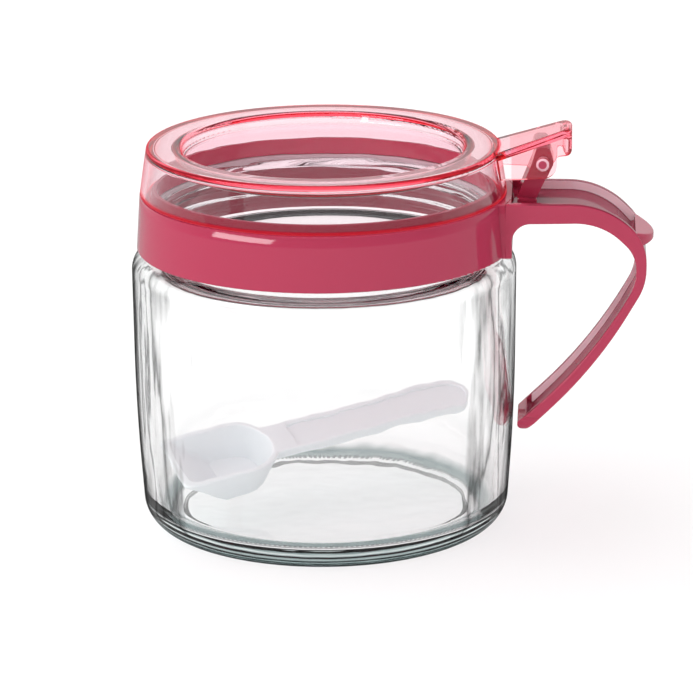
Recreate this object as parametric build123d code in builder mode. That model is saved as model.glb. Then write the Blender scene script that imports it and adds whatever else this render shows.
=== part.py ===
from build123d import *
import os
from math import cos, radians, sin

# Condiment jar: a round glass jar with a screw-on plastic collar that carries a strap
# handle and a hinged clear lid, and a small plastic scoop that lies inside.
# Millimetres. Z is up, the jar's axis is Z, the jar stands on Z = 0, the handle points to +X.

# Glass jar
body_radius = 48.1
waist_radius = body_radius - 0.4
waist_height = 30.0
waist_fillet = 500.0
heel_radius = body_radius - 2.5
heel_fillet = 7.5
foot_radius = body_radius - 11.9
push_up = 1.4
push_up_slope = 1.2
foot_fillet = 0.5
shoulder_height = 70.8
shoulder_fillet = 4.8
glass_wall = 3.6
base_thickness = 8.0
inside_corner_fillet = 7.0
neck_radius = body_radius - 5.5
neck_wall = 3.0
neck_top = shoulder_height + 11.2
neck_root_fillet = 0.5
mouth_fillet = 1.3
inner_shoulder_fillet = 2.3

# Collar, which clears the jar's shoulder by a small gap
collar_gap = 0.6
collar_bottom = shoulder_height + collar_gap
collar_bottom_radius = neck_radius + 4.1
collar_wall = 2.4
ledge_height = collar_bottom + 13.9
ledge_radius = neck_radius + 3.15
flange_bore_radius = neck_radius - 1.3
lip_height = 2.0
lip_base_width = 2.1
lip_top_width = 1.1
collar_fillet = 0.4

# Sealing ring, squeezed between the glass rim and the collar's flange
seal_thickness = 1.2
seal_inner_radius = flange_bore_radius - 0.3
seal_clearance = 0.3
seal_fillet = 0.3

# Handle, seen from the side: level top, bend, then a strap that runs back to the glass
handle_start_x = flange_bore_radius + 1.0
handle_thickness = 5.1
handle_reach = body_radius + 32.2
top_bend_x = body_radius + 21.7
top_bend_radius = 21.0
inner_top_bend_x = body_radius + 20.8
inner_top_bend_radius = 16.0
bend_top = ledge_height - 10.5
bend_top_radius = 13.5
inner_bend_top = ledge_height - 13.9
inner_bend_top_radius = 9.0
bend_bottom = ledge_height - 21.5
bend_bottom_radius = 15.0
strap_thickness = 2.6
strap_knee_x = body_radius + 19.8
strap_knee_height = ledge_height - 43.2
strap_knee_radius = 115.0
strap_knee_step_x = 1.3
strap_knee_step_z = 2.6
strap_gap = 0.4
strap_end_x = body_radius + strap_gap
strap_end_height = ledge_height - 62.3
strap_end_face = 4.6
strap_end_radius = 1.6
pad_face_x = collar_bottom_radius + 0.4
pad_fillet = 4.6

# Handle from the front: half width against distance down a slanting line from the ledge
handle_slant = 35.0
handle_half_width = 13.5
handle_widths = [
    (handle_half_width, -8.0),
    (13.3, 7.8),
    (11.5, 18.8),
    (10.2, 26.3),
    (9.35, 38.3),
    (7.4, 52.3),
]
handle_taper = 6.0
handle_end_half_width = 7.6
handle_end_bottom = ledge_height - 60.4
handle_end_fillet = 3.8

# Channels: one open upward in the top of the handle, one open to the jar in the strap
rim_width = 2.0
channel_depth = 2.3
channel_end_x = handle_reach - 2.8
channel_end_height = ledge_height - 10.8
channel_start_x = pad_face_x - 0.2
channel_fillet = 0.8
strap_floor = 1.3
strap_flank = 1.7
strap_channel_top = ledge_height - 15.8
strap_channel_end_x = strap_end_x + 3.5
strap_channel_end_height = strap_end_height + 5.3
strap_channel_reach = 6.0
nose_x = handle_reach + 1.8
nose_height = ledge_height - 9.8
nose_thickness = 1.5
nose_fall = 0.39
nose_start_x = nose_x - 4.7
nose_root_x = nose_x - 8.1
nose_foot_x = nose_x - 4.1
nose_foot_drop = 2.2
nose_half_width = 10.3
nose_fillet = 0.5
handle_edge_fillet = 0.5
channel_edge_fillet = 0.3

# Hinge
pivot_x = body_radius + 6.4
pivot_height = ledge_height + 8.5
pin_radius = 1.6
pin_chamfer = 0.4
pin_seat_clearance = 0.02
pin_running_clearance = 0.06
post_x = pivot_x - 6.2
post_thickness = 4.8
post_half_width = 4.7
post_base_half_width = 6.8
post_base_height = ledge_height - 0.3
post_base_fillet = 0.4
post_bend_fillet = 2.0
post_head_reach = 3.8
post_head_half_thickness = 1.6
post_neck_half_thickness = 2.7
post_fillet = 1.3

# Lid
lid_top = ledge_height + 11.9
lid_bottom_radius = ledge_radius - 0.05
lid_top_radius = ledge_radius - 1.85
lid_wall = 1.65
lid_plate = 1.8
recess_radius = lid_top_radius - 8.5
recess_depth = 3.0
recess_draft = 0.6
lid_edge_fillet = 0.8
recess_edge_fillet = 1.2
recess_outer_fillet = 0.6
lid_inner_fillet = 0.8

# Lever and ears, one piece with the lid
lever_root_x = lid_top_radius - 0.5
lever_root_height = lid_top - 0.2
lever_root_half_width = 9.5
lever_overlap = 2.0
lever_tip_x = pivot_x + 7.2
lever_tip_half_width = 6.4
lever_rise = 0.319
lever_plate = 2.1
lever_wall = 1.6
lever_corner_fillet = 3.6
lever_rim_fillet = 1.2
lever_lip_height = pivot_height + 2.0
lever_lip_fillet = 1.2
lever_inner_fillet = 0.8
ear_reach = 3.5
ear_end_fillet = 3.3
ear_fillet = 0.8

# Scoop
scoop_space = body_radius - glass_wall
scoop_length = 1.897 * scoop_space
scoop_bowl_length = 28.4
scoop_half_width = 10.3
scoop_depth = 9.6
scoop_wall = 1.2
scoop_corner_fillet = 1.5
scoop_floor_start = 12.0
scoop_floor_inset = 2.6
scoop_floor_fillet = 1.2
scoop_handle_half_width = 5.3
scoop_handle_thickness = 2.4
scoop_panel_depth = 0.7
scoop_panel_margin = 1.5
scoop_panel_start = 5.0
scoop_turn = 28.0
scoop_rise = 6.0
scoop_roll = 20.8
scoop_edge_fillet = 0.5
scoop_place = (-0.8465 * scoop_space, -0.379 * scoop_space, base_thickness + 11.15)

os.makedirs("parts", exist_ok=True)


def outline(corners):
    """A closed face from corners given as (point, fillet radius)."""
    with BuildSketch() as drawn:
        with BuildLine():
            FilletPolyline([p for p, r in corners], radius=[r for p, r in corners], close=True)
        make_face()
    return drawn.sketch


def mirrored(corners):
    """The corners followed by their mirror images across the second axis of the sketch."""
    return corners + [((-u, v), r) for (u, v), r in reversed(corners)]


# Glass jar: one turned profile, thick at the heel, with a rounded mouth
inner_radius = body_radius - glass_wall
mouth_radius = neck_radius - neck_wall
shoulder_underside = shoulder_height - glass_wall
jar_outline = [
    ((0, push_up), 0),
    ((foot_radius - push_up_slope, push_up), foot_fillet),
    ((foot_radius, 0), foot_fillet),
    ((heel_radius, 0), heel_fillet),
    ((waist_radius, waist_height), waist_fillet),
    ((body_radius, shoulder_height), shoulder_fillet),
    ((neck_radius, shoulder_height), neck_root_fillet),
    ((neck_radius, neck_top), mouth_fillet),
    ((mouth_radius, neck_top), mouth_fillet),
    ((mouth_radius, shoulder_underside), inner_shoulder_fillet),
    ((inner_radius, shoulder_underside), inner_shoulder_fillet),
    ((waist_radius - glass_wall, waist_height), waist_fillet),
    ((heel_radius - glass_wall, base_thickness), inside_corner_fillet),
    ((0, base_thickness), 0),
]
with BuildPart() as glass_jar:
    with BuildSketch(Plane.XZ):
        add(outline(jar_outline))
    revolve(axis=Axis.Z)
glass_jar.part.label = "glass_jar"
export_step(glass_jar.part, "parts/glass_jar.step")

# Sealing ring
flange_underside = neck_top + seal_thickness
skirt_inner_radius = collar_bottom_radius - collar_wall
seal_outer_radius = skirt_inner_radius - seal_clearance
seal_outline = [
    ((seal_inner_radius, neck_top), seal_fillet),
    ((seal_outer_radius, neck_top), seal_fillet),
    ((seal_outer_radius, flange_underside), seal_fillet),
    ((seal_inner_radius, flange_underside), seal_fillet),
]
with BuildPart() as sealing_ring:
    with BuildSketch(Plane.XZ):
        add(outline(seal_outline))
    revolve(axis=Axis.Z)
sealing_ring.part.label = "sealing_ring"
export_step(sealing_ring.part, "parts/sealing_ring.step")


from_above_plane = Plane(origin=(0, 0, 0), x_dir=(0, 1, 0), z_dir=(0, 0, -1))


# The handle's sides: broad at the collar, narrower round the bend and down the strap.
# The same sides, drawn in by a margin, bound the channels.
far = 2 * handle_reach
slant = radians(handle_slant)
slant_plane = Plane(origin=(0, 0, 0), x_dir=(0, 1, 0), z_dir=(-cos(slant), 0, -sin(slant)))
slant_start = body_radius * sin(slant) - ledge_height * cos(slant)


def handle_space(margin):
    """The space between the handle's two sides, each side moved in by the margin."""
    side = [(width - margin, slant_start + down) for width, down in handle_widths]
    other = [(-width, down) for width, down in side]
    with BuildPart() as space:
        with BuildSketch(slant_plane):
            with BuildLine():
                Spline(*side, tangents=[(0, 1), (-1, handle_taper)])
                Line(side[-1], other[-1])
                Spline(*other, tangents=[(0, 1), (1, handle_taper)])
                Polyline(other[0], (-side[0][0], -far), (side[0][0], -far), side[0])
            make_face()
        extrude(amount=far, both=True)
    return space.part


# Side view of the handle
handle_underside = ledge_height - handle_thickness
strap_inner_x = handle_reach - strap_thickness
handle_outline = [
    ((handle_start_x, ledge_height), 0),
    ((top_bend_x, ledge_height), top_bend_radius),
    ((handle_reach, bend_top), bend_top_radius),
    ((handle_reach, bend_bottom), bend_bottom_radius),
    ((strap_knee_x, strap_knee_height), strap_knee_radius),
    ((strap_end_x, strap_end_height), strap_end_radius),
    ((strap_end_x, strap_end_height + strap_end_face), strap_end_radius / 2),
    ((strap_knee_x - strap_knee_step_x, strap_knee_height + strap_knee_step_z), strap_knee_radius),
    ((strap_inner_x, bend_bottom), bend_bottom_radius - strap_thickness),
    ((strap_inner_x, inner_bend_top), inner_bend_top_radius),
    ((inner_top_bend_x, handle_underside), inner_top_bend_radius),
    ((pad_face_x, handle_underside), pad_fillet),
    ((pad_face_x, collar_bottom), 0),
    ((handle_start_x, collar_bottom), 0),
]

# Upper channel
channel_floor = ledge_height - channel_depth
channel_outline = [
    ((channel_start_x, 2 * ledge_height), 0),
    ((channel_start_x, channel_floor), channel_fillet),
    ((channel_end_x + channel_end_height - channel_floor, channel_floor), top_bend_radius - channel_depth),
    ((channel_end_x, channel_end_height), channel_fillet),
    ((channel_end_x, 2 * ledge_height), 0),
]
with BuildPart() as channel:
    with BuildSketch(Plane.XZ):
        add(outline(channel_outline))
    extrude(amount=handle_half_width, both=True)
    add(handle_space(rim_width), mode=Mode.INTERSECT)

# Beak at the bend, where the rims of the upper channel run together
nose_beyond = nose_x + nose_thickness
nose_outline = [
    ((nose_root_x, nose_height + nose_fall * (nose_x - nose_root_x)), 0),
    ((nose_beyond, nose_height + nose_fall * (nose_x - nose_beyond)), 0),
    ((nose_beyond, nose_height - nose_thickness), 0),
    ((nose_foot_x, nose_height - nose_foot_drop), 0),
]
with BuildPart() as nose:
    with BuildSketch(Plane.XZ):
        add(outline(nose_outline))
    extrude(amount=nose_half_width, both=True)
    with BuildSketch(Plane.XY):
        with BuildLine():
            ThreePointArc((nose_start_x, nose_half_width), (nose_x, 0), (nose_start_x, -nose_half_width))
            Polyline(
                (nose_start_x, -nose_half_width),
                (0, -nose_half_width),
                (0, nose_half_width),
                (nose_start_x, nose_half_width),
            )
        make_face()
    extrude(amount=2 * ledge_height, mode=Mode.INTERSECT)
    fillet(nose.edges().filter_by(GeomType.ELLIPSE), nose_fillet)
    add(channel.part, mode=Mode.SUBTRACT)

# Channel in the strap, open to the jar
strap_floor_x = handle_reach - strap_floor
strap_channel_outline = [
    ((strap_knee_x, strap_channel_top), 0),
    ((strap_floor_x, strap_channel_top), channel_fillet),
    ((strap_floor_x, bend_bottom), bend_bottom_radius - strap_floor),
    ((strap_knee_x - strap_knee_step_x / 2, strap_knee_height + strap_knee_step_z / 2), strap_knee_radius),
    ((strap_channel_end_x, strap_channel_end_height), channel_fillet),
    ((strap_channel_end_x - strap_channel_reach, strap_channel_end_height + strap_channel_reach), 0),
    ((strap_knee_x - strap_channel_reach, strap_knee_height + strap_channel_reach), 0),
]
with BuildPart() as strap_channel:
    with BuildSketch(Plane.XZ):
        add(outline(strap_channel_outline))
    extrude(amount=handle_half_width, both=True)
    add(handle_space(strap_flank), mode=Mode.INTERSECT)

# Hinge post: a block on the channel's floor and a blade that leans out to the pin
post_foot = channel_floor - post_base_fillet
post_outline = [
    ((post_x, post_foot), 0),
    ((post_x, post_base_height), post_base_fillet),
    ((pivot_x - post_neck_half_thickness, pivot_height), post_bend_fillet),
    ((pivot_x - post_head_half_thickness, pivot_height + post_head_reach), post_fillet),
    ((pivot_x + post_head_half_thickness, pivot_height + post_head_reach), post_fillet),
    ((pivot_x + post_neck_half_thickness, pivot_height), post_bend_fillet),
    ((post_x + post_thickness, post_base_height), post_base_fillet),
    ((post_x + post_thickness, post_foot), 0),
]
post_base_outline = [
    ((post_x, post_foot), 0),
    ((post_x, post_base_height), post_base_fillet),
    ((post_x + post_thickness, post_base_height), post_base_fillet),
    ((post_x + post_thickness, post_foot), 0),
]
with BuildPart() as post:
    with BuildSketch(Plane.XZ):
        add(outline(post_base_outline))
    extrude(amount=post_base_half_width, both=True)
    with BuildSketch(Plane.XZ):
        add(outline(post_outline))
    extrude(amount=post_half_width, both=True)
    with BuildSketch(Plane.XZ):
        with Locations((pivot_x, pivot_height)):
            Circle(pin_radius + pin_seat_clearance)
    extrude(amount=handle_half_width, both=True, mode=Mode.SUBTRACT)

# Collar: outer form, then the hollow that takes the neck and the bore above it
lip_radius = flange_bore_radius + lip_base_width
lip_top = ledge_height + lip_height
collar_outline = [
    ((0, collar_bottom), 0),
    ((collar_bottom_radius, collar_bottom), collar_fillet),
    ((ledge_radius, ledge_height), collar_fillet),
    ((lip_radius, ledge_height), collar_fillet),
    ((flange_bore_radius + lip_top_width, lip_top), collar_fillet),
    ((0, lip_top), 0),
]
collar_hollow = [
    ((0, 0), 0),
    ((skirt_inner_radius, 0), 0),
    ((skirt_inner_radius, flange_underside), collar_fillet),
    ((flange_bore_radius, flange_underside), collar_fillet),
    ((flange_bore_radius, 2 * lip_top), 0),
    ((0, 2 * lip_top), 0),
]
end_corners = [
    ((far, handle_end_bottom + handle_end_fillet + far), 0),
    ((handle_end_half_width, handle_end_bottom + handle_end_fillet), 0),
    ((handle_end_half_width, handle_end_bottom), handle_end_fillet),
]


def long_edges(part):
    """The edges along the handle's two sides, short of its free end."""
    low_end = strap_end_height + strap_end_face + strap_end_radius
    beyond_pad = part.edges().filter_by_position(Axis.X, pad_face_x, far)
    right = beyond_pad.filter_by_position(Axis.Y, strap_floor, far)
    left = beyond_pad.filter_by_position(Axis.Y, -far, -strap_floor)
    return (right + left).filter_by_position(Axis.Z, low_end, far)


with BuildPart() as handle_collar:
    with BuildSketch(Plane.XZ):
        add(outline(handle_outline))
    extrude(amount=handle_half_width, both=True)
    add(handle_space(0), mode=Mode.INTERSECT)
    fillet(long_edges(handle_collar), handle_edge_fillet)
    add(channel.part, mode=Mode.SUBTRACT)
    fillet(handle_collar.edges(Select.LAST), channel_edge_fillet)
    add(strap_channel.part, mode=Mode.SUBTRACT)
    fillet(handle_collar.edges(Select.LAST), channel_edge_fillet)
    with BuildSketch(Plane.YZ):
        add(outline(mirrored(end_corners)))
    extrude(amount=far, mode=Mode.INTERSECT)
    add(nose.part)
    with BuildSketch(Plane.XZ):
        add(outline(collar_outline))
    revolve(axis=Axis.Z)
    add(post.part)
    with BuildSketch(Plane.XZ):
        add(outline(collar_hollow))
    revolve(axis=Axis.Z, mode=Mode.SUBTRACT)
handle_collar.part.label = "handle_collar"
export_step(handle_collar.part, "parts/handle_collar.step")

# Hinge pin
pin_half_length = lever_root_half_width - (lever_root_half_width - lever_tip_half_width) * (
    pivot_x - lever_root_x
) / (lever_tip_x - lever_root_x)
with BuildPart() as hinge_pin:
    with BuildSketch(Plane.XZ):
        with Locations((pivot_x, pivot_height)):
            Circle(pin_radius)
    extrude(amount=pin_half_length, both=True)
    chamfer(hinge_pin.edges(), pin_chamfer)
hinge_pin.part.label = "hinge_pin"
export_step(hinge_pin.part, "parts/hinge_pin.step")

# Lid: a cap with a sunk top and a slightly flared skirt
recess_floor_radius = recess_radius - recess_draft
lid_under = lid_top - lid_plate
lid_outer = [
    ((0, ledge_height), 0),
    ((lid_bottom_radius, ledge_height), collar_fillet),
    ((lid_top_radius, lid_top), lid_edge_fillet),
    ((recess_radius, lid_top), recess_edge_fillet),
    ((recess_floor_radius, lid_top - recess_depth), lid_inner_fillet),
    ((0, lid_top - recess_depth), 0),
]
lid_hollow = [
    ((0, 0), 0),
    ((lid_bottom_radius - lid_wall, 0), 0),
    ((lid_bottom_radius - lid_wall, ledge_height), 0),
    ((lid_top_radius - lid_wall, lid_under), lid_inner_fillet),
    ((recess_radius + lid_plate, lid_under), recess_outer_fillet),
    ((recess_floor_radius + lid_plate, lid_under - recess_depth), recess_edge_fillet),
    ((0, lid_under - recess_depth), 0),
]
# Lever: a raked plate with side walls that run down into the ears, and a lip at its tip
lever_tip_top = lever_root_height + lever_rise * (lever_tip_x - lever_root_x)
lever_start_x = lever_root_x - lever_overlap
lever_slope_in = lever_root_height - lever_rise * lever_overlap
ear_bottom = pivot_height - ear_reach
ear_end_x = pivot_x + ear_reach
lever_side = [
    ((lever_start_x, lever_slope_in), 0),
    ((lever_tip_x, lever_tip_top), 0),
    ((lever_tip_x, lever_lip_height), lever_lip_fillet),
    ((ear_end_x, lever_lip_height), ear_fillet),
    ((ear_end_x, ear_bottom), ear_end_fillet),
    ((lever_start_x, ear_bottom), 0),
]
lever_cavity = [
    ((lever_start_x, lever_slope_in - lever_plate), 0),
    ((lever_tip_x - lever_wall, lever_tip_top - lever_rise * lever_wall - lever_plate), lever_inner_fillet),
    ((lever_tip_x - lever_wall, 0), 0),
    ((lever_start_x, 0), 0),
]


def lever_plan(margin):
    """The lever from above, each edge moved in by the margin."""
    root = lever_root_half_width - margin
    tip = lever_tip_half_width - margin
    return [
        ((tip, lever_tip_x - margin), lever_corner_fillet - margin),
        ((root, lever_root_x), 0),
        ((root, 0), 0),
    ]


with BuildPart() as lever_hollow:
    with BuildSketch(Plane.XZ):
        add(outline(lever_cavity))
    extrude(amount=handle_half_width, both=True)
    with BuildSketch(from_above_plane):
        add(outline(mirrored(lever_plan(lever_wall))))
    extrude(amount=-2 * lid_top, mode=Mode.INTERSECT)

with BuildPart() as lid:
    with BuildSketch(Plane.XZ):
        add(outline(lever_side))
    extrude(amount=handle_half_width, both=True)
    with BuildSketch(from_above_plane):
        add(outline(mirrored(lever_plan(0))))
    extrude(amount=-2 * lid_top, mode=Mode.INTERSECT)
    rim = lid.faces().sort_by(Axis.Z)[-1].edges()
    fillet(rim.filter_by_position(Axis.X, lever_root_x, lever_tip_x), lever_rim_fillet)
    add(lever_hollow.part, mode=Mode.SUBTRACT)
    with BuildSketch(Plane.XZ):
        with Locations((pivot_x, pivot_height)):
            Circle(pin_radius + pin_running_clearance)
    extrude(amount=handle_half_width, both=True, mode=Mode.SUBTRACT)
    with BuildSketch(Plane.XZ):
        add(outline(lid_outer))
    revolve(axis=Axis.Z)
    with BuildSketch(Plane.XZ):
        add(outline(lid_hollow))
    revolve(axis=Axis.Z, mode=Mode.SUBTRACT)
lid.part.label = "lid"
export_step(lid.part, "parts/lid.step")

# Scoop, drawn level with its front edge on the Y axis and its rim on Z = 0, then laid in the jar
bowl_sections = [
    (0, 0, 0),
    (-scoop_depth, scoop_floor_start, scoop_floor_inset),
]


def bowl_form(margin):
    """The scoop's bowl as a solid, each side moved in by the margin."""
    with BuildPart() as bowl:
        for level, front, inset in bowl_sections:
            height = level + margin if level < 0 else margin
            half = scoop_half_width - inset - margin
            rear = scoop_bowl_length - scoop_half_width
            with BuildSketch(Plane.XY.offset(height)):
                with BuildLine():
                    ThreePointArc((rear, half), (rear + half, 0), (rear, -half))
                    FilletPolyline(
                        (rear, -half),
                        (front + margin, -half),
                        (front + margin, half),
                        (rear, half),
                        radius=scoop_corner_fillet,
                    )
                make_face()
        loft()
        if margin == 0:
            floor_edges = bowl.faces().sort_by(Axis.Z)[0].edges()
            fillet(floor_edges, scoop_floor_fillet)
    return bowl.part


with BuildPart() as scoop:
    with BuildSketch(Plane.XY):
        with BuildLine():
            handle_start = scoop_bowl_length - 4 * scoop_wall
            handle_round = scoop_length - scoop_handle_half_width
            half = scoop_handle_half_width
            ThreePointArc((handle_round, half), (scoop_length, 0), (handle_round, -half))
            Polyline(
                (handle_round, -half),
                (handle_start, -half),
                (handle_start, half),
                (handle_round, half),
            )
        make_face()
    extrude(amount=-scoop_handle_thickness)
    with BuildSketch(Plane.XY):
        with BuildLine():
            panel_start = scoop_bowl_length + scoop_panel_start
            half = scoop_handle_half_width - scoop_panel_margin
            ThreePointArc((handle_round, half), (handle_round + half, 0), (handle_round, -half))
            Polyline(
                (handle_round, -half),
                (panel_start, -half),
                (panel_start, half),
                (handle_round, half),
            )
        make_face()
    extrude(amount=-scoop_panel_depth, mode=Mode.SUBTRACT)
    add(bowl_form(0))
    add(bowl_form(scoop_wall), mode=Mode.SUBTRACT)
    rim = scoop.edges().filter_by_position(Axis.Z, -scoop_edge_fillet / 2, scoop_edge_fillet / 2)
    fillet(rim, scoop_edge_fillet)
laid = Location(scoop_place, (scoop_roll, -scoop_rise, scoop_turn), Extrinsic.XYZ)
laid_scoop = scoop.part.moved(laid)
laid_scoop.label = "scoop"
export_step(laid_scoop, "parts/scoop.step")
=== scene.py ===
import math

import bpy
from mathutils import Matrix, Vector, noise


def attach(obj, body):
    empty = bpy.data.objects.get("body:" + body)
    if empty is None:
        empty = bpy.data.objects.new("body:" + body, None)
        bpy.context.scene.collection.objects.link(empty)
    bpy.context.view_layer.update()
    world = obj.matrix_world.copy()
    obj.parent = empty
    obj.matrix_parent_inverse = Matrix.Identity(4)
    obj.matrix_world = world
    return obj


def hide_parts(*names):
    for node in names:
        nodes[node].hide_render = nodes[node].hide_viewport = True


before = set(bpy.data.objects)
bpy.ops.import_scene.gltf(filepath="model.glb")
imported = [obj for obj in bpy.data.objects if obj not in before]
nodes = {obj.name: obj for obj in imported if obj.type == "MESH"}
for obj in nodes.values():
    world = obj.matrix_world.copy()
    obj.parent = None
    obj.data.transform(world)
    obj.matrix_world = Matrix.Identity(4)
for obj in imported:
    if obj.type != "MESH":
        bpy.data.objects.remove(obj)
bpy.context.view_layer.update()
MM = 0.001

# Places on the part, in millimetres
PIN_X, PIN_Z = 54.5, 93.8
COLLAR_RADIUS, COLLAR_ROLL_START, COLLAR_CROWN_HEIGHT = 46.3, 82.3, 78.0
COLLAR_ROLL_RADIUS, COLLAR_CROWN_RADIUS = 7.5, 120.0
HANDLE_START, HANDLE_TOP_MIDDLE, HANDLE_TOP_HALF = 52.0, 63.5, 12.0
TEETH_RADIUS, TEETH_HALF, TEETH_TOP, TEETH = 38.8, 1.4, 1.2, 190.0
HEEL_LOW, HEEL_HIGH, HEEL_INNER, SIDE_INNER = 2.2, 5.5, 39.5, 45.6
LEVER_START = 46.8
PLATE_INNER, PLATE_OUTER = 33.4, 34.4
# Radius and height
LID_TOP_EDGE, LID_RECESS_EDGE, LID_RIM = (43.7, 97.0), (35.2, 96.8), (45.5, 85.4)


# Materials
class Tree:
    """Adds shader nodes and links them; an input is a value or (node, output)."""

    def __init__(self, tree):
        self.tree = tree
        self.tree.nodes.clear()

    def add(self, kind, inputs=None, **settings):
        node = self.tree.nodes.new(kind)
        for name, value in settings.items():
            setattr(node, name, value)
        for name, value in (inputs or {}).items():
            if isinstance(value, tuple) and isinstance(value[0], bpy.types.Node):
                self.tree.links.new(value[0].outputs[value[1]], node.inputs[name])
            else:
                node.inputs[name].default_value = value
        return node

    def maths(self, operation, first, second=0.0, third=0.5):
        return self.add("ShaderNodeMath", {0: first, 1: second, 2: third}, operation=operation), 0

    def square(self, value):
        return self.maths("POWER", value, 2.0)

    def place(self, output="Object"):
        """The three parts of a position or normal on the piece's own coordinates."""
        where = self.add("ShaderNodeTexCoord")
        parts = self.add("ShaderNodeSeparateXYZ", {0: (where, output)})
        return (parts, 0), (parts, 1), (parts, 2)

    def grain(self, scale, low, high, detail=3.0):
        """A noise over the piece's own coordinates, from low to high."""
        where = self.add("ShaderNodeTexCoord")
        cells = self.add("ShaderNodeTexNoise", {
            "Vector": (where, "Object"), "Scale": scale, "Detail": detail})
        return self.add("ShaderNodeMapRange", {
            "Value": (cells, 0), "To Min": low, "To Max": high}), 0

    def bump(self, height):
        """Turns a height in metres into a normal."""
        return self.add("ShaderNodeBump", {"Height": height, "Strength": 1.0, "Distance": 1.0}), 0

    def cylinder(self):
        """The distance from the Z axis, the height and the bearing, on the same coordinates."""
        x, y, z = self.place()
        radius = self.maths("SQRT", self.maths("ADD", self.square(x), self.square(y)))
        return radius, z, self.maths("ARCTAN2", y, x)

    def band(self, value, middle, half, soft):
        """1 within half of the middle, falling to 0 over soft; lengths in millimetres."""
        off = self.maths("ABSOLUTE", self.maths("SUBTRACT", value, middle * MM))
        return self.add("ShaderNodeMapRange", {
            "Value": off, "From Min": half * MM, "From Max": (half + soft) * MM,
            "To Min": 1.0, "To Max": 0.0}), 0

    def ring(self, radius, height, place, across, upward):
        """1 along a ring at a (radius, height) place; across and upward are (half, soft)."""
        return self.maths(
            "MULTIPLY", self.band(radius, place[0], *across), self.band(height, place[1], *upward))

    def ramp(self, value, stops):
        """A colour ramp through (place, grey) stops."""
        node = self.add("ShaderNodeValToRGB", {0: value})
        ends = node.color_ramp.elements
        while len(ends) < len(stops):
            ends.new(0.5)
        for end, (at, grey) in zip(ends, stops):
            end.position = at
            end.color = rgba(grey, grey, grey)
        return node, 0

    def blend(self, factor, first, second):
        """Mixes two colours."""
        return self.add("ShaderNodeMixRGB", {0: factor, 1: first, 2: second}), 0

    def surface(self, shader, volume=None):
        ends = {"Surface": (shader, 0)}
        if volume is not None:
            ends["Volume"] = (volume, 0)
        self.add("ShaderNodeOutputMaterial", ends)

    def reflected(self):
        """1 for what is seen in a reflection, and 0 for what is seen through a clear piece."""
        path = self.add("ShaderNodeLightPath")
        return self.maths("MULTIPLY", (path, "Is Glossy Ray"), (path, "Is Reflection Ray"))

    def clear(self, shader, tint):
        """Light that only brightens other things goes straight through a clear piece."""
        path = self.add("ShaderNodeLightPath")
        either = self.maths("MAXIMUM", (path, "Is Shadow Ray"), (path, "Is Diffuse Ray"))
        straight = self.add("ShaderNodeBsdfTransparent", {"Color": tint})
        return self.add("ShaderNodeMixShader", {0: either, 1: (shader, 0), 2: (straight, 0)})


def new_material(name):
    material = bpy.data.materials.new(name)
    material.use_nodes = True
    return material, Tree(material.node_tree)


def rgba(red, green, blue):
    return (red, green, blue, 1.0)


def set_material(piece, material):
    piece.data.materials.clear()
    piece.data.materials.append(material)


def rose_plastic():
    material, tree = new_material("rose_plastic")
    radius, height, _ = tree.cylinder()
    rough = tree.grain(900.0, 0.05, 0.10)
    wave = tree.grain(45.0, 0.0, 0.08 * MM, 2.0)

    # The collar's outside is a little crowned and rolls over at the top
    above = tree.maths("MAXIMUM", tree.maths("SUBTRACT", height, COLLAR_ROLL_START * MM), 0.0)
    roll = tree.maths("MULTIPLY", tree.square(above), -1.0 / (2 * COLLAR_ROLL_RADIUS * MM))
    middle = tree.square(tree.maths("SUBTRACT", height, COLLAR_CROWN_HEIGHT * MM))
    crown = tree.maths("MULTIPLY", middle, -1.0 / (2 * COLLAR_CROWN_RADIUS * MM))
    skirt = tree.band(radius, COLLAR_RADIUS, 1.0, 0.2)
    shape = tree.maths("MULTIPLY", tree.maths("ADD", roll, crown), skirt)

    # Painted shade: corners and gaps, found by ambient occlusion, are painted deeper in colour and
    # mirror less
    painted_shade_ao = tree.add("ShaderNodeAmbientOcclusion", {"Distance": 12.0 * MM}, samples=4)
    painted_shade_ao = tree.ramp((painted_shade_ao, 1), ((0.25, 0.15), (0.60, 0.75), (0.90, 1.0)))
    colour = tree.blend(painted_shade_ao, rgba(0.22, 0.008, 0.028), rgba(0.455, 0.043, 0.095))
    level = tree.maths("MULTIPLY", painted_shade_ao, 0.5)

    # Painted highlight: the inner flanks of the handle's channels are painted pale, standing in
    # for the bright surroundings they mirror
    x, y, _ = tree.place()
    _, facing_y, facing_z = tree.place("Normal")
    outward = tree.maths("MULTIPLY", tree.maths("SIGN", y), facing_y)
    inward = tree.maths("LESS_THAN", outward, -0.6)
    beyond = tree.maths("GREATER_THAN", x, HANDLE_START * MM)
    flank_painted_highlight = tree.maths("MULTIPLY", inward, beyond)
    flank_painted_highlight = tree.maths("MULTIPLY", flank_painted_highlight, tree.grain(200.0, 0.65, 0.9))
    colour = tree.blend(flank_painted_highlight, colour, rgba(0.95, 0.72, 0.78))

    # Painted shade: the top of the handle is painted a deeper colour and mirrors less, standing in
    # for the dark surroundings it mirrors
    stretch = tree.band(x, HANDLE_TOP_MIDDLE, HANDLE_TOP_HALF, 2.0)
    on_top = tree.maths("MULTIPLY", tree.maths("GREATER_THAN", facing_z, 0.4), stretch)
    painted_dark_top = tree.maths("MULTIPLY", on_top, tree.grain(120.0, 0.55, 0.75, 2.0))
    colour = tree.blend(painted_dark_top, colour, rgba(0.16, 0.016, 0.034))
    level = tree.maths("MULTIPLY", level, tree.maths("SUBTRACT", 1.0, painted_dark_top))
    shader = tree.add("ShaderNodeBsdfPrincipled", {
        "Base Color": colour, "Roughness": rough, "IOR": 1.52, "Specular IOR Level": level,
        "Normal": tree.bump(tree.maths("ADD", wave, shape)),
        "Subsurface Weight": 0.15, "Subsurface Scale": 2.0 * MM,
        "Subsurface Radius": (1.0, 0.25, 0.35)})
    tree.surface(shader)
    return material


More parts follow.
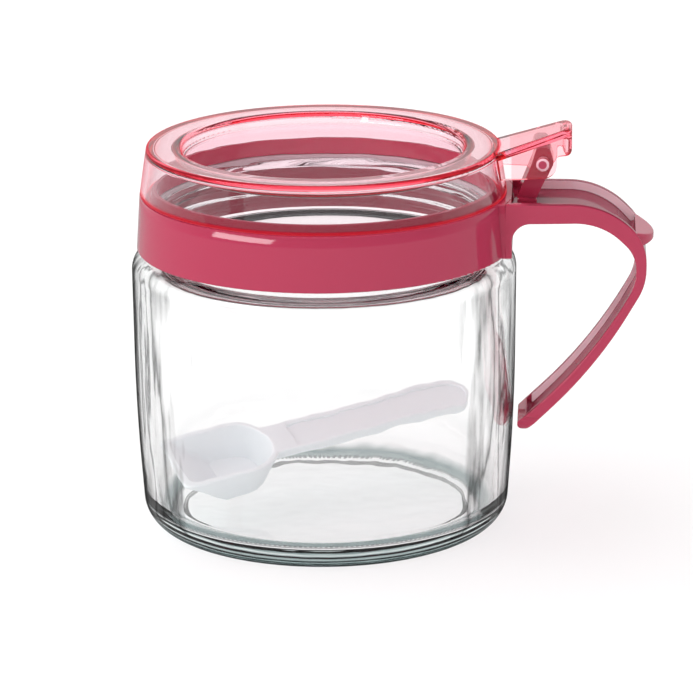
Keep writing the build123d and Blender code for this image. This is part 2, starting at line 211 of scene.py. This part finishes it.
def pin_plastic():
    material, tree = new_material("pin_plastic")
    x, _, z = tree.place()
    along = tree.square(tree.maths("SUBTRACT", x, PIN_X * MM))
    above = tree.square(tree.maths("SUBTRACT", z, PIN_Z * MM))
    off = tree.maths("SQRT", tree.maths("ADD", along, above))
    edge = tree.add("ShaderNodeMapRange", {
        "Value": off, "From Min": 0.95 * MM, "From Max": 1.15 * MM})
    shader = tree.add("ShaderNodeBsdfPrincipled", {
        "Base Color": tree.blend((edge, 0), rgba(0.45, 0.04, 0.09), rgba(0.88, 0.55, 0.62)),
        "Roughness": tree.grain(900.0, 0.10, 0.22),
        "Normal": tree.bump(tree.grain(800.0, 0.0, 0.02 * MM))})
    tree.surface(shader)
    return material


def jar_glass():
    material, tree = new_material("jar_glass")
    radius, height, bearing = tree.cylinder()

    # The foot carries a ring of short radial teeth
    wander = tree.maths("ADD", radius, tree.grain(60.0, -0.7 * MM, 0.7 * MM, 2.0))
    teeth = tree.maths("SINE", tree.maths("MULTIPLY", bearing, TEETH))
    patchy = tree.grain(150.0, -0.9, 1.1, 2.0)
    teeth = tree.add("ShaderNodeMapRange", {
        "Value": tree.maths("ADD", teeth, patchy), "From Min": 0.0, "From Max": 0.5})
    ring = tree.band(wander, TEETH_RADIUS, TEETH_HALF, 0.5)
    ring = tree.maths("MULTIPLY", ring, tree.maths("LESS_THAN", height, TEETH_TOP * MM))
    knurl = tree.maths("MULTIPLY", (teeth, 0), ring)

    # Where the glass is seen edge-on it is painted darker, in wavy upright streaks: partly the
    # real darkening of thick glass, partly painted shade standing in for dark surroundings bent in
    # at the edges
    facing = tree.add("ShaderNodeLayerWeight", {"Blend": 0.5})
    where = tree.add("ShaderNodeTexCoord")
    upright = tree.add("ShaderNodeMapping", {
        "Vector": (where, "Object"), "Scale": (1.0, 1.0, 0.16)})
    waves = tree.add("ShaderNodeTexNoise", {"Vector": (upright, 0), "Scale": 150.0, "Detail": 3.0})
    waves = tree.add("ShaderNodeMapRange", {
        "Value": (waves, 0), "From Min": 0.3, "From Max": 0.7, "To Min": -0.12, "To Max": 0.12})
    slant = tree.maths("ADD", (facing, 1), (waves, 0))
    painted_edge_shade = tree.ramp(slant, (
        (0.43, 1.0), (0.49, 0.62), (0.52, 0.28), (0.56, 0.85),
        (0.65, 1.0), (0.685, 0.30), (0.72, 0.95), (0.90, 0.12)))
    # The outside of the heel is painted a dark sea green: partly the real tint of thick glass,
    # partly painted shade
    heel = tree.add("ShaderNodeMapRange", {
        "Value": height, "From Min": HEEL_LOW * MM, "From Max": HEEL_HIGH * MM,
        "To Min": 1.0, "To Max": 0.0})
    outside = tree.maths("GREATER_THAN", radius, HEEL_INNER * MM)
    low = tree.maths("MULTIPLY", (heel, 0), outside)
    outer = tree.maths("GREATER_THAN", radius, SIDE_INNER * MM)
    tone = tree.blend(outer, rgba(1, 1, 1), painted_edge_shade)
    heel_tint_and_shade = tree.blend(
        tree.grain(220.0, 0.55, 1.0), rgba(0.72, 0.78, 0.78), rgba(0.25, 0.32, 0.32))
    tint = tree.blend(low, tone, heel_tint_and_shade)

    dents = tree.grain(160.0, 0.0, 0.05 * MM, 1.0)
    relief = tree.maths("ADD", tree.maths("MULTIPLY", knurl, 0.15 * MM), dents)
    rough = tree.grain(300.0, 0.0, 0.012)
    glass = tree.add("ShaderNodeBsdfGlass", {
        "Color": tint, "Roughness": rough, "IOR": 1.50, "Normal": tree.bump(relief)})
    # Painted shade: the teeth are mixed with a dark grey diffuse, standing in for the light they
    # bend away
    teeth_painted_dark = tree.add("ShaderNodeBsdfDiffuse", {"Color": rgba(0.16, 0.17, 0.17)})
    shader = tree.add("ShaderNodeMixShader", {
        0: tree.maths("MULTIPLY", knurl, 0.85), 1: (glass, 0), 2: (teeth_painted_dark, 0)})
    inside = tree.add("ShaderNodeVolumeAbsorption", {
        "Color": rgba(0.45, 0.62, 0.61), "Density": 5.0})
    tree.surface(tree.clear(shader, rgba(0.97, 0.975, 0.975)), inside)
    return material


def clear_rose():
    material, tree = new_material("clear_rose_plastic")
    radius, height, _ = tree.cylinder()
    rough = tree.grain(500.0, 0.0, 0.015)
    normal = tree.bump(tree.grain(60.0, 0.0, 0.06 * MM, 1.0))

    # Painted glow: the moulded edges, the grazing rims and the lever are painted with red emission
    # lines and a red tint, standing in for the light that runs along inside the plastic
    top_edge = tree.ring(radius, height, LID_TOP_EDGE, (0.3, 0.3), (0.5, 0.3))
    recess_edge = tree.ring(radius, height, LID_RECESS_EDGE, (0.5, 0.4), (0.5, 0.5))
    rim = tree.ring(radius, height, LID_RIM, (0.6, 0.4), (0.6, 0.4))
    facing = tree.add("ShaderNodeLayerWeight", {"Blend": 0.5})
    grazing_painted_glow = tree.add("ShaderNodeMapRange", {
        "Value": (facing, 1), "From Min": 0.72, "From Max": 0.98, "To Min": 0.0, "To Max": 0.8})
    recess_edge = tree.maths("MULTIPLY", recess_edge, 0.6)
    painted_glow_lines = tree.maths("MAXIMUM", tree.maths("MAXIMUM", top_edge, recess_edge), rim)
    painted_glow_lines = tree.maths("MAXIMUM", painted_glow_lines, (grazing_painted_glow, 0))
    x, _, _ = tree.place()
    # The lever is painted with a faint red glow all over
    lever_painted_glow = tree.maths("MULTIPLY", tree.maths("GREATER_THAN", x, LEVER_START * MM), 0.18)
    painted_glow_lines = tree.maths("MAXIMUM", painted_glow_lines, lever_painted_glow)
    painted_glow_lines = tree.maths("MULTIPLY", painted_glow_lines, tree.grain(80.0, 0.7, 1.0))
    glass = tree.add("ShaderNodeBsdfGlass", {
        "Color": tree.blend(painted_glow_lines, rgba(1.0, 1.0, 1.0), rgba(0.97, 0.18, 0.25)),
        "Roughness": rough, "IOR": 1.52, "Normal": normal})
    through = tree.add("ShaderNodeBsdfRefraction", {
        "Color": rgba(0.97, 0.93, 0.95), "Roughness": rough, "IOR": 1.52, "Normal": normal})
    plate = tree.add("ShaderNodeMapRange", {
        "Value": radius, "From Min": PLATE_INNER * MM, "From Max": PLATE_OUTER * MM,
        "To Min": 0.92, "To Max": 0.0})
    glass = tree.add("ShaderNodeMixShader", {0: (plate, 0), 1: (glass, 0), 2: (through, 0)})
    # The emission is the painted glow along the edges, the grazing rims and the lever
    painted_glow_emission = tree.add("ShaderNodeEmission", {
        "Color": rgba(0.80, 0.022, 0.040), "Strength": tree.maths("MULTIPLY", painted_glow_lines, 0.34)})
    shader = tree.add("ShaderNodeAddShader", {0: (glass, 0), 1: (painted_glow_emission, 0)})
    inside = tree.add("ShaderNodeVolumeAbsorption", {
        "Color": rgba(0.985, 0.30, 0.50), "Density": 85.0})
    tree.surface(tree.clear(shader, rgba(0.99, 0.965, 0.975)), inside)
    return material


def frosted():
    material, tree = new_material("frosted_plastic")
    rough = tree.grain(700.0, 0.28, 0.42)
    colour = tree.blend(
        tree.grain(120.0, 0.0, 1.0), rgba(0.80, 0.83, 0.86), rgba(0.84, 0.86, 0.88))
    shader = tree.add("ShaderNodeBsdfPrincipled", {
        "Base Color": colour,
        "Roughness": rough, "IOR": 1.45, "Subsurface Weight": 0.4, "Subsurface Scale": 3.0 * MM,
        "Subsurface Radius": (1.0, 1.0, 1.0)})
    tree.surface(shader)
    return material


def rubber():
    material, tree = new_material("seal_rubber")
    rough = tree.grain(600.0, 0.4, 0.55)
    shader = tree.add("ShaderNodeBsdfPrincipled", {
        "Base Color": rgba(0.80, 0.80, 0.80), "Roughness": rough, "Transmission Weight": 0.4})
    tree.surface(shader)
    return material


set_material(nodes["handle_collar"], rose_plastic())
set_material(nodes["hinge_pin"], pin_plastic())
set_material(nodes["lid"], clear_rose())
set_material(nodes["scoop"], frosted())
set_material(nodes["sealing_ring"], rubber())


# The glass jar, turned finely from the same outline, with its thread and uneven wall
def rounded(corners, step):
    """Points along an outline of ((radius, height), fillet) corners, at most step apart."""
    points = []
    for i, ((r, z), fillet) in enumerate(corners):
        here = Vector((r, z))
        if fillet == 0 or i in (0, len(corners) - 1):
            points.append(here)
            continue
        before = (Vector(corners[i - 1][0]) - here).normalized()
        after = (Vector(corners[i + 1][0]) - here).normalized()
        half = before.angle(after) / 2
        reach = fillet / math.tan(half)
        centre = here + (before + after).normalized() * fillet / math.sin(half)
        start, end = here + before * reach - centre, here + after * reach - centre
        sweep = start.angle_signed(end)
        count = max(4, round(abs(sweep) * fillet / step), round(abs(sweep) / 0.12))
        for k in range(count + 1):
            turn = -sweep * k / count
            points.append(centre + Vector((
                start.x * math.cos(turn) - start.y * math.sin(turn),
                start.x * math.sin(turn) + start.y * math.cos(turn))))
    dense = [points[0]]
    for point in points[1:]:
        count = max(1, math.ceil((point - dense[-1]).length / step))
        last = dense[-1].copy()
        dense.extend(last.lerp(point, k / count) for k in range(1, count + 1))
    return [p for i, p in enumerate(dense) if i == 0 or (p - dense[i - 1]).length > 1e-4]


def turned(name, points, around, shape):
    """A mesh turned about Z from points that start and end on the axis."""
    ring = points[1:-1]
    vertices = [(0, 0, points[0].y * MM), (0, 0, points[-1].y * MM)]
    for p in ring:
        for k in range(around):
            turn = 2 * math.pi * k / around
            r, z = shape(p, turn)
            vertices.append((r * math.cos(turn) * MM, r * math.sin(turn) * MM, z * MM))
    faces = []
    for k in range(around):
        n = (k + 1) % around
        faces.append((0, 2 + n, 2 + k))
        for i in range(len(ring) - 1):
            a, b = 2 + i * around, 2 + (i + 1) * around
            faces.append((a + k, a + n, b + n, b + k))
        last = 2 + (len(ring) - 1) * around
        faces.append((1, last + k, last + n))
    mesh = bpy.data.meshes.new(name)
    mesh.from_pydata(vertices, [], faces)
    mesh.polygons.foreach_set("use_smooth", [True] * len(faces))
    mesh.update()
    made = bpy.data.objects.new(name, mesh)
    bpy.context.scene.collection.objects.link(made)
    return made


JAR = [
    ((0, 1.4), 0), ((35.0, 1.4), 0.5), ((36.2, 0), 0.5), ((45.6, 0), 7.5), ((47.7, 30.0), 500.0),
    ((48.1, 70.8), 4.8), ((42.6, 70.8), 0.5), ((42.6, 82.0), 1.3), ((39.6, 82.0), 1.3),
    ((39.6, 67.2), 2.3), ((44.5, 67.2), 2.3), ((44.1, 30.0), 500.0),
    ((42.5, 5.0), 5.0), ((0, 5.0), 0),
]
NECK_RADIUS = 42.6
OUTLINE_STEP, AROUND = 0.7, 288
THREAD_START, THREAD_PITCH, THREAD_TURNS = 73.6, 4.2, 1.65
THREAD_HALF, THREAD_HEIGHT, THREAD_FADE = 1.6, 1.3, 0.5
THREAD_LOW, THREAD_HIGH = 72.0, 80.6
UNEVEN_LOW, UNEVEN_HIGH, UNEVEN_INNER, UNEVEN_OUTER = 9.0, 66.0, 36.0, 44.8


def thread(turn, z):
    """How far the thread stands out from the neck."""
    most = 0.0
    for lap in (0, 1):
        along = turn + 2 * math.pi * lap
        middle = THREAD_START + THREAD_PITCH * along / (2 * math.pi)
        left = 2 * math.pi * THREAD_TURNS - along
        fade = min(1.0, along / THREAD_FADE, left / THREAD_FADE)
        off = abs(z - middle) / THREAD_HALF
        if fade > 0 and off < 1:
            most = max(most, fade * THREAD_HEIGHT * math.cos(off * math.pi / 2) ** 1.5)
    return most


def jar_shape(p, turn):
    """The radius and height of an outline point at a bearing, with the thread and the waves."""
    r, z = p.x, p.y
    if abs(r - NECK_RADIUS) < 0.01 and THREAD_LOW < z < THREAD_HIGH:
        return r + thread(turn, z), z
    if UNEVEN_INNER < r < UNEVEN_OUTER and UNEVEN_LOW < z < UNEVEN_HIGH:
        at = Vector((r * math.cos(turn), r * math.sin(turn), z))
        slow = noise.noise(Vector((at.x / 17, at.y / 17, at.z / 34)))
        fast = noise.noise(Vector((at.x / 6, at.y / 6, at.z / 15)) + Vector((9, 4, 2)))
        edge = min(1.0, (z - UNEVEN_LOW) / 6, (UNEVEN_HIGH - z) / 4)
        return r - edge * (0.22 * slow + 0.06 * fast), z
    return r, z


jar = turned("glass_jar_turned", rounded(JAR, OUTLINE_STEP), AROUND, jar_shape)
set_material(jar, jar_glass())
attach(jar, "jar")
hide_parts("glass_jar")


# Studio: a pale floor, an even bright surround and two soft boxes that show in reflections only
def glow(name, strength):
    material, tree = new_material(name)
    tree.surface(tree.add("ShaderNodeEmission", {"Color": rgba(1, 1, 1), "Strength": strength}))
    return material


def panel(name, bearing, lift, distance, width, tall, material):
    """A flat panel that faces the object; bearing is measured from +X towards +Y."""
    angle = math.radians(bearing)
    half, top = width / 2, tall / 2
    mesh = bpy.data.meshes.new(name)
    corners = [(-half, -top, 0), (half, -top, 0), (half, top, 0), (-half, top, 0)]
    mesh.from_pydata(corners, [], [(0, 1, 2, 3)])
    made = bpy.data.objects.new(name, mesh)
    bpy.context.scene.collection.objects.link(made)
    made.location = (distance * math.cos(angle), distance * math.sin(angle), lift)
    made.rotation_mode = "QUATERNION"
    made.rotation_quaternion = (Vector((0, 0, 0.05)) - made.location).to_track_quat("Z", "Y")
    set_material(made, material)
    made.visible_camera = False
    made.visible_shadow = False
    made.visible_diffuse = False
    made.visible_transmission = False


panel(
    "box_left", bearing=-138, lift=0.50, distance=1.3, width=0.95, tall=0.42,
    material=glow("soft_box", 8.0))
panel(
    "box_above", bearing=-100, lift=1.5, distance=0.5, width=1.2, tall=0.9,
    material=glow("ceiling_box", 1.6))

bpy.ops.mesh.primitive_plane_add(size=8.0)
ground = bpy.context.active_object
ground.name = "floor"
pale, ground_tree = new_material("floor")
paper = ground_tree.add("ShaderNodeBsdfDiffuse", {"Color": rgba(0.93, 0.93, 0.93)})
mirrored = ground_tree.add("ShaderNodeBsdfDiffuse", {"Color": rgba(0.45, 0.45, 0.45)})
ground_tree.surface(ground_tree.add("ShaderNodeMixShader", {
    0: ground_tree.reflected(), 1: (paper, 0), 2: (mirrored, 0)}))
set_material(ground, pale)

world = bpy.data.worlds.new("studio")
bpy.context.scene.world = world
world.use_nodes = True
sky = Tree(world.node_tree)
path = sky.add("ShaderNodeLightPath")
white = rgba(1, 1, 1)
way_x, way_y, _ = sky.place("Generated")
# What is seen is white; the light on the object comes more from the left; reflections are dimmer
leftward = sky.maths("MULTIPLY_ADD", way_x, -0.78, 1.22)
behind = sky.add("ShaderNodeMapRange", {
    "Value": way_y, "From Min": -0.3, "From Max": 0.9, "To Min": 0.12, "To Max": 0.85})
seen = sky.add("ShaderNodeBackground", {"Color": white, "Strength": 1.0})
lit = sky.add("ShaderNodeBackground", {"Color": white, "Strength": leftward})
dimmed = sky.add("ShaderNodeBackground", {"Color": white, "Strength": (behind, 0)})
direct = sky.add("ShaderNodeMixShader", {0: (path, "Is Diffuse Ray"), 1: (seen, 0), 2: (lit, 0)})
around = sky.add("ShaderNodeMixShader", {0: sky.reflected(), 1: (direct, 0), 2: (dimmed, 0)})
sky.add("ShaderNodeOutputWorld", {"Surface": (around, 0)})

# Camera, as fitted to the photograph; the shift is in its pixels
azimuth, pitch, roll = math.radians(3.5), math.radians(16.26), math.radians(-0.545)
distance, height = 1.0, 0.3364
lens, sensor = 215.06, 36.0
photo_width, photo_shift = 693, 21.6
nearest, farthest = 0.05, 20.0
camera = bpy.data.objects.new("camera", bpy.data.cameras.new("camera"))
bpy.context.scene.collection.objects.link(camera)
ahead = Vector((-math.sin(azimuth), math.cos(azimuth), 0.0))
forward = ahead * math.cos(pitch) - Vector((0, 0, math.sin(pitch)))
up = ahead * math.sin(pitch) + Vector((0, 0, math.cos(pitch)))
right = Vector((math.cos(azimuth), math.sin(azimuth), 0.0))
turned_to = Matrix((right, up, -forward)).transposed().to_4x4()
stand = Matrix.Translation(-ahead * distance + Vector((0, 0, height)))
camera.matrix_world = stand @ turned_to @ Matrix.Rotation(roll, 4, "Z")
camera.data.sensor_width = sensor
camera.data.lens = lens
camera.data.shift_x = photo_shift / photo_width
camera.data.clip_start, camera.data.clip_end = nearest, farthest
bpy.context.scene.camera = camera
bpy.context.scene.view_settings.view_transform = "Standard"
